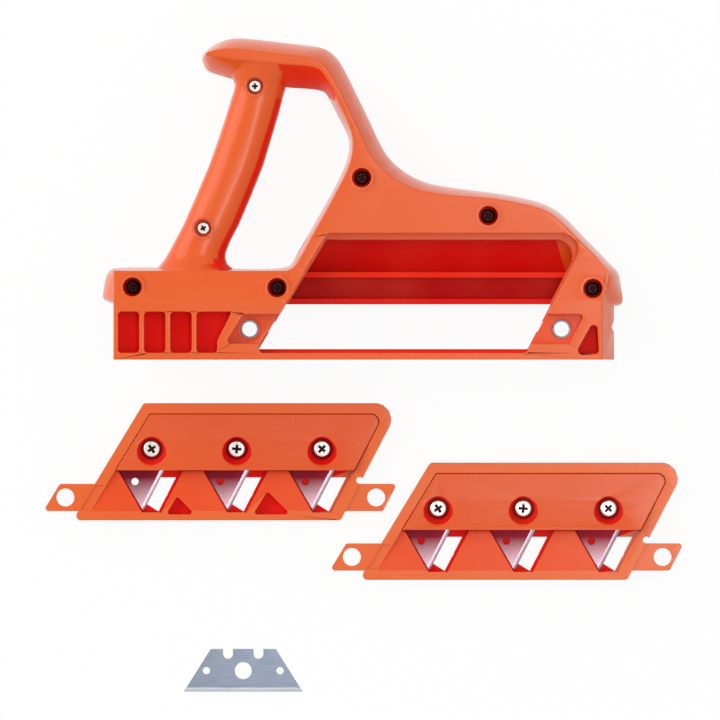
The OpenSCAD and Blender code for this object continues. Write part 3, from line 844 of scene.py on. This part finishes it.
@dataclass
class Cassette:
    """A blade cassette: frame, clamp plate and three screws."""

    frame: dict
    tag: str
    drilled: bool = False
    head_r: float = 3.7 * MM
    head_h: float = 2.4 * MM
    shank_r: float = 2.0 * MM
    rim_z: float = 9 * MM
    lug_step: float = 0.6 * MM
    bar_h: float = 4 * MM
    mouth_h: float = 21.7 * MM
    # How far below the top of the mouth the painted shade on the seated blades is full.
    shade_drop: float = 3 * MM
    counterbore_r: float = 6.6 * MM
    counterbore_z: float = 7.2 * MM
    lean: float = 0.606
    blade_turn: float = math.radians(62.8)
    holder_edge: float = 0.3 * MM
    cover_edge: float = 0.4 * MM
    ledge_w: float = 1.4 * MM
    ledge_z: float = 2.3 * MM
    ledge_from: float = -23.1 * MM
    ledge_to: float = -1.0 * MM
    ledge_across: float = 15.0 * MM
    floor_z: float = 0.8 * MM
    groove_y: float = 11.15 * MM
    patch_size: tuple[float, float, float] = (9.6 * MM, 3.7 * MM, 0.5 * MM)
    patch_left: float = 5.6 * MM
    patch_drop: float = 0.4 * MM
    pin_along: float = -16.1 * MM
    pin_r: float = 1.6 * MM
    mouths_from: float = 16 * MM
    mouths_right: float = 36 * MM
    mouth_top: float = 50.5 * MM
    slope_h: float = 4.5 * MM
    ridge_x: tuple[float, float] = (20.6 * MM, 27.4 * MM)
    ridge_y: tuple[float, float] = (5.2 * MM, 14.8 * MM)
    low: Vector = field(init=False)
    high: Vector = field(init=False)

    def __post_init__(self) -> None:
        """Keeps the box of the frame and the places of the screws."""
        self.low, self.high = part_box(f"frame_{self.tag}")
        boxes = [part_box(self._screw_node(letter)) for letter in "abc"]
        self.screws = [(low + high) / 2 for low, high in boxes]

    def _screw_node(self, letter: str) -> str:
        """Names the CAD node of a clamp screw."""
        return f"clamp_screw_{self.tag}_{letter}"

    def build(self, nylon: bpy.types.Material, clamp: bpy.types.Material, plate: bpy.types.Material) -> None:
        """Builds the cassette."""
        holder = from_cad(self.frame, f"frame_{self.tag}", f"holder_{self.tag}")
        self._close_groove(holder)
        self._cut_ledges(holder)
        if self.drilled:
            self._drill(holder)
        round_edges(holder, self.holder_edge, Corner.MOULDED)
        # Painted shade in the mouths and pockets of the frame.
        mark(holder, "deep", self.depth)
        # Painted glints on the two ridges at the root of the left lug.
        mark(holder, "pale", self.glint_ridges)
        holder.data.materials.append(nylon)
        finish_piece(holder, "orange_cassette", f"cassette_{self.tag}", f"frame_{self.tag}")
        cover = from_cad(self.frame, f"clamp_plate_{self.tag}", f"cover_{self.tag}")
        round_edges(cover, self.cover_edge, Corner.COUNTERSUNK, ring=0.0)
        # Painted shade in the counterbores and on the plate's side walls.
        mark(cover, "deep", self.bore_depth)
        cover.data.materials.append(clamp)
        finish_piece(cover, "orange_clamp", f"clamp_{self.tag}", f"clamp_plate_{self.tag}")
        shape = ScrewShape(self.head_r, self.head_h, self.shank_r, Driver.CROSS_AND_SLOT, 0.6)
        model = shape.model()
        for count, letter in enumerate("abc"):
            node = self._screw_node(letter)
            screw = shape.fit(model, f"screw_{self.tag}_{letter}_fitted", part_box(node), 0.6 + 0.9 * count)
            screw.data.materials.clear()
            screw.data.materials.append(plate)
            finish_piece(screw, "nickel_screw", f"screw_{self.tag}_{letter}", node)
        bpy.data.objects.remove(model)

    def _along_blade(self, screw: Vector, along: float, across: float) -> Vector:
        """Gives a place from a screw, along and across the cutting edge of its blade."""
        cos, sin = math.cos(self.blade_turn), math.sin(self.blade_turn)
        return Vector((screw.x + along * cos + across * sin, screw.y + along * sin - across * cos, 0.0))

    def _cut_ledges(self, holder: bpy.types.Object) -> None:
        """Widens each mouth by a ledge beside its chip opening."""
        top = self.high.z + MM
        for screw in self.screws:
            first = self._along_blade(screw, self.ledge_from, self.ledge_across)
            last = self._along_blade(screw, self.ledge_to, self.ledge_across + self.ledge_w)
            middle = (first + last) / 2
            bpy.ops.object.select_all(action="DESELECT")
            bpy.ops.mesh.primitive_cube_add(size=1, location=(middle.x, middle.y, (self.ledge_z + top) / 2))
            bar = bpy.context.object
            bar.scale = (self.ledge_to - self.ledge_from, self.ledge_w, top - self.ledge_z)
            bar.rotation_euler = (0, 0, self.blade_turn)
            bpy.ops.object.transform_apply(location=True, rotation=True, scale=True)
            self._combine(holder, bar, "DIFFERENCE")

    def _close_groove(self, holder: bpy.types.Object) -> None:
        """Closes the slot that the groove in the back cuts through the floor below each blade."""
        groove = self.low.y + self.groove_y
        for screw in self.screws:
            at = (screw.x - self.patch_left, groove - self.patch_drop, self.floor_z - self.patch_size[2] / 2)
            bpy.ops.object.select_all(action="DESELECT")
            bpy.ops.mesh.primitive_cube_add(size=1, location=at)
            patch = bpy.context.object
            patch.scale = self.patch_size
            bpy.ops.object.transform_apply(location=True, rotation=True, scale=True)
            for vertex in patch.data.vertices:
                vertex.co.x += (vertex.co.y - groove) / math.tan(self.blade_turn)
            self._combine(holder, patch, "UNION")

    def _drill(self, holder: bpy.types.Object) -> None:
        """Drills the floor below the small hole of the first blade."""
        at = self._along_blade(self.screws[0], self.pin_along, 0.0)
        bpy.ops.object.select_all(action="DESELECT")
        bpy.ops.mesh.primitive_cylinder_add(vertices=32, radius=self.pin_r, depth=6 * MM, location=at)
        drill = bpy.context.object
        bpy.ops.object.transform_apply(location=True, rotation=True, scale=True)
        self._combine(holder, drill, "DIFFERENCE")

    def _combine(self, holder: bpy.types.Object, tool: bpy.types.Object, operation: str) -> None:
        """Cuts a shape from the frame or adds it, and clears the shape away."""
        apply_modifier(holder, "BOOLEAN", operation=operation, object=tool, solver="EXACT")
        bpy.data.objects.remove(tool)

    def depth(self, centre: Vector, normal: Vector) -> float:
        """Tells how much painted shade a face of the frame gets, from how deep in a mouth or pocket it lies.
        """
        height = centre.y - self.low.y
        along = centre.x - self.low.x - height * self.lean
        last = self.high.x - self.low.x - self.mouths_right
        if normal.z < -0.5 or not self.mouths_from < along < last:
            return 0.0
        if not self.bar_h - 2 * MM < height < self.mouth_top or centre.z > self.rim_z - self.lug_step:
            return 0.0
        sloped = 0.5 < normal.z < 0.999 and centre.z > self.rim_z - self.slope_h
        return 0.2 if sloped else 0.5

    def glint_ridges(self, centre: Vector, normal: Vector) -> float:
        """Marks the two ridges at the root of the left lug for a painted glint, a near-white painted
        highlight.
        """
        height = centre.y - self.low.y
        along = centre.x - self.low.x - height * self.lean
        inside = self.ridge_y[0] < height < self.ridge_y[1] and self.rim_z - self.lug_step < centre.z
        return 1.0 if inside and self.ridge_x[0] < along < self.ridge_x[1] and normal.z > 0.3 else 0.0

    def bore_depth(self, centre: Vector, normal: Vector) -> float:
        """Tells how much painted shade a face of the clamp plate gets, in a counterbore or in the joint."""
        for at in self.screws:
            if (centre.xy - at.xy).length < self.counterbore_r and normal.z < 0.97:
                return 0.55
            if (centre.xy - at.xy).length < self.counterbore_r and centre.z < self.counterbore_z + 0.1 * MM:
                return 1.0
        return 0.22 if abs(normal.z) < 0.2 else 0.0


@dataclass
class Blades:
    """All trapezoid blades, with their ground bevels."""

    frame: dict
    nodes: tuple[str, ...]
    body: str
    edge: float = 0.06 * MM
    bevel_steep: float = 0.8
    bevel_light: float = 0.98
    least_area: float = 2 * MM * MM

    def build(self, flat: bpy.types.Material, ground: bpy.types.Material) -> None:
        """Dresses each blade with a flat finish and a brighter bevel."""
        for node in self.nodes:
            piece = from_cad(self.frame, node, node.replace("blade", "cutter"))
            round_edges(piece, self.edge, Corner.MOULDED, 1)
            piece.data.materials.append(flat)
            piece.data.materials.append(ground)
            for face in piece.data.polygons:
                tilted = self.bevel_steep < face.normal.z < self.bevel_light and face.area > self.least_area
                face.material_index = 1 if tilted else 0
            finish_piece(piece, "blade_steel", self.body, node)


@dataclass(frozen=True)
class Lamp:
    """One area lamp that faces the middle of the set."""

    name: str
    place: tuple[float, float, float]
    size: tuple[float, float]
    power: float

    def hang(self) -> None:
        """Hangs the lamp, round when both of its sides are the same."""
        lamp = bpy.data.lights.new(self.name, "AREA")
        lamp.shape = "RECTANGLE" if self.size[0] != self.size[1] else "DISK"
        lamp.size = self.size[0]
        if self.size[0] != self.size[1]:
            lamp.size_y = self.size[1]
        lamp.energy = self.power
        rig = bpy.data.objects.new(self.name, lamp)
        rig.location = self.place
        rig.rotation_euler = (-Vector(self.place)).to_track_quat("-Z", "Y").to_euler()
        bpy.context.scene.collection.objects.link(rig)


@dataclass
class Studio:
    """Pale floor, a large soft lamp low at the upper left, a strip at the right, and the camera above."""

    centre: tuple[float, float] = (-1.57 * MM, 2.39 * MM)
    view_width: float = 313 * MM
    distance: float = 6.0
    sensor: float = 36.0
    floor_glow: float = 0.92
    ambient: float = 0.64
    floor_white: float = 0.92
    floor_size: float = 12.0
    key: Lamp = Lamp("key", (-2.25, 1.05, 1.5), (3.0, 3.0), 45.0)
    strip: Lamp = Lamp("strip", (0.26, 0.02, 1.7), (1.3, 0.08), 5.0)

    def build(self) -> None:
        """Builds the studio."""
        self._floor()
        self._world()
        self.key.hang()
        self.strip.hang()
        self._camera()

    def _floor(self) -> None:
        """Lays the white floor, seen white and lit plainly."""
        bpy.ops.object.select_all(action="DESELECT")
        bpy.ops.mesh.primitive_plane_add(size=self.floor_size, location=(0, 0, -0.05 * MM))
        floor = bpy.context.object
        floor.name = "floor"
        bpy.ops.object.transform_apply(location=True, rotation=True, scale=True)
        sheet = NodeSheet("white_floor")
        sheet.shader.inputs["Base Color"].default_value = (*[self.floor_white] * 3, 1)
        sheet.shader.inputs["Roughness"].default_value = 0.9
        rays = sheet.add("ShaderNodeLightPath")
        seen = sheet.add("ShaderNodeMath", operation="MAXIMUM")
        share = sheet.add("ShaderNodeMath", operation="MULTIPLY")
        share.inputs[1].default_value = self.floor_glow
        glow = sheet.add("ShaderNodeEmission", Strength=1.0)
        mixer = sheet.add("ShaderNodeMixShader")
        sheet.join(rays.outputs["Is Camera Ray"], seen.inputs[0])
        sheet.join(rays.outputs["Is Glossy Ray"], seen.inputs[1])
        sheet.join(seen.outputs[0], share.inputs[0])
        sheet.join(share.outputs[0], mixer.inputs["Fac"])
        sheet.join(sheet.shader.outputs[0], mixer.inputs[1])
        sheet.join(glow.outputs[0], mixer.inputs[2])
        sheet.join(mixer.outputs[0], sheet.tree.nodes["Material Output"].inputs["Surface"])
        floor.data.materials.append(sheet.material)

    def _world(self) -> None:
        """Lights the scene evenly and shows white behind it."""
        world = bpy.data.worlds.new("studio")
        world.use_nodes = True
        tree = world.node_tree
        rays = tree.nodes.new("ShaderNodeLightPath")
        background = tree.nodes["Background"]
        background.inputs["Color"].default_value = (1, 1, 1, 1)
        background.inputs["Strength"].default_value = self.ambient
        bright = tree.nodes.new("ShaderNodeBackground")
        bright.inputs["Strength"].default_value = 1.0
        either = tree.nodes.new("ShaderNodeMath")
        either.operation = "MAXIMUM"
        third = tree.nodes.new("ShaderNodeMath")
        third.operation = "MAXIMUM"
        mixer = tree.nodes.new("ShaderNodeMixShader")
        tree.links.new(rays.outputs["Is Camera Ray"], either.inputs[0])
        tree.links.new(rays.outputs["Is Glossy Ray"], either.inputs[1])
        tree.links.new(either.outputs[0], third.inputs[0])
        tree.links.new(rays.outputs["Is Transmission Ray"], third.inputs[1])
        tree.links.new(third.outputs[0], mixer.inputs["Fac"])
        tree.links.new(background.outputs[0], mixer.inputs[1])
        tree.links.new(bright.outputs[0], mixer.inputs[2])
        tree.links.new(mixer.outputs[0], tree.nodes["World Output"].inputs["Surface"])
        bpy.context.scene.world = world

    def _camera(self) -> None:
        """Places the camera straight above the set."""
        lens = bpy.data.cameras.new("camera")
        lens.sensor_width = self.sensor
        lens.lens = self.sensor * self.distance / self.view_width
        lens.clip_end = 20
        camera = bpy.data.objects.new("camera", lens)
        camera.location = (*self.centre, self.distance + 36 * MM)
        bpy.context.scene.collection.objects.link(camera)
        bpy.context.scene.camera = camera


def body_origin() -> Vector:
    """Gives the point midway between the two bushings."""
    left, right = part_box("left_bushing"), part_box("right_bushing")
    corners = [*left, *right]
    return sum(corners, Vector((0, 0, 0))) / 4


def main() -> None:
    """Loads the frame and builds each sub-assembly."""
    logging.basicConfig(level=logging.INFO, format="%(relativeCreated)6d ms %(message)s")
    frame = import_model()
    scene = bpy.context.scene
    scene.view_settings.view_transform = "Standard"
    # The second and third colours of each nylon are painted shade for lit and dark recesses.
    shell = MouldedNylon("orange_shell", srgb(229, 88, 12), srgb(236, 26, 24), srgb(165, 10, 12)).material()
    holder = MouldedNylon("orange_holder", srgb(231, 96, 20), srgb(236, 26, 24), srgb(150, 8, 10)).material()
    clamp = MouldedNylon("orange_clamp", srgb(224, 82, 10), srgb(225, 20, 18), srgb(130, 8, 10)).material()
    plate = Plated("nickel_plate", srgb(235, 225, 218)).material()
    black = Plated("blackened_steel", srgb(52, 26, 26), 0.35, srgb(80, 50, 48)).material()
    ring = BrushedSteel("turned_ring", srgb(120, 120, 128), srgb(170, 168, 172), roughness=0.3).material()
    BodyShells(frame, body_origin()).build(shell)
    BodyFasteners(frame).build(black, plate, ring)
    for tag in ("45", "60"):
        cassette = Cassette(frame, tag, drilled=tag == "45")
        cassette.build(holder, clamp, plate)
        low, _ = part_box(f"blade_{tag}_a")
        # Painted shade: the seated blades darken and redden towards the top, where they lie under the clamp
        # plate.
        shade_top_y = cassette.low.y + cassette.mouth_h - cassette.shade_drop
        seated = BrushedSteel(f"seated_blade_{tag}", srgb(176, 142, 152), srgb(206, 182, 190),
                              turn=cassette.blade_turn, shade_tint=srgb(108, 24, 36),
                              shade_from=low.y, shade_to=shade_top_y).material()
        seated_edge = BrushedSteel(f"seated_bevel_{tag}", srgb(150, 122, 134), srgb(190, 166, 176),
                                   roughness=0.25, turn=cassette.blade_turn).material()
        names = tuple(f"blade_{tag}_{letter}" for letter in "abc")
        Blades(frame, names, f"cassette_{tag}").build(seated, seated_edge)
    loose = BrushedSteel("loose_blade", srgb(112, 122, 140), srgb(146, 154, 168)).material()
    loose_edge = BrushedSteel("loose_bevel", srgb(186, 192, 204), srgb(215, 218, 226),
                              roughness=0.25).material()
    Blades(frame, ("spare_blade",), "spare").build(loose, loose_edge)
    Studio().build()


if __name__ == "__main__":
    main()
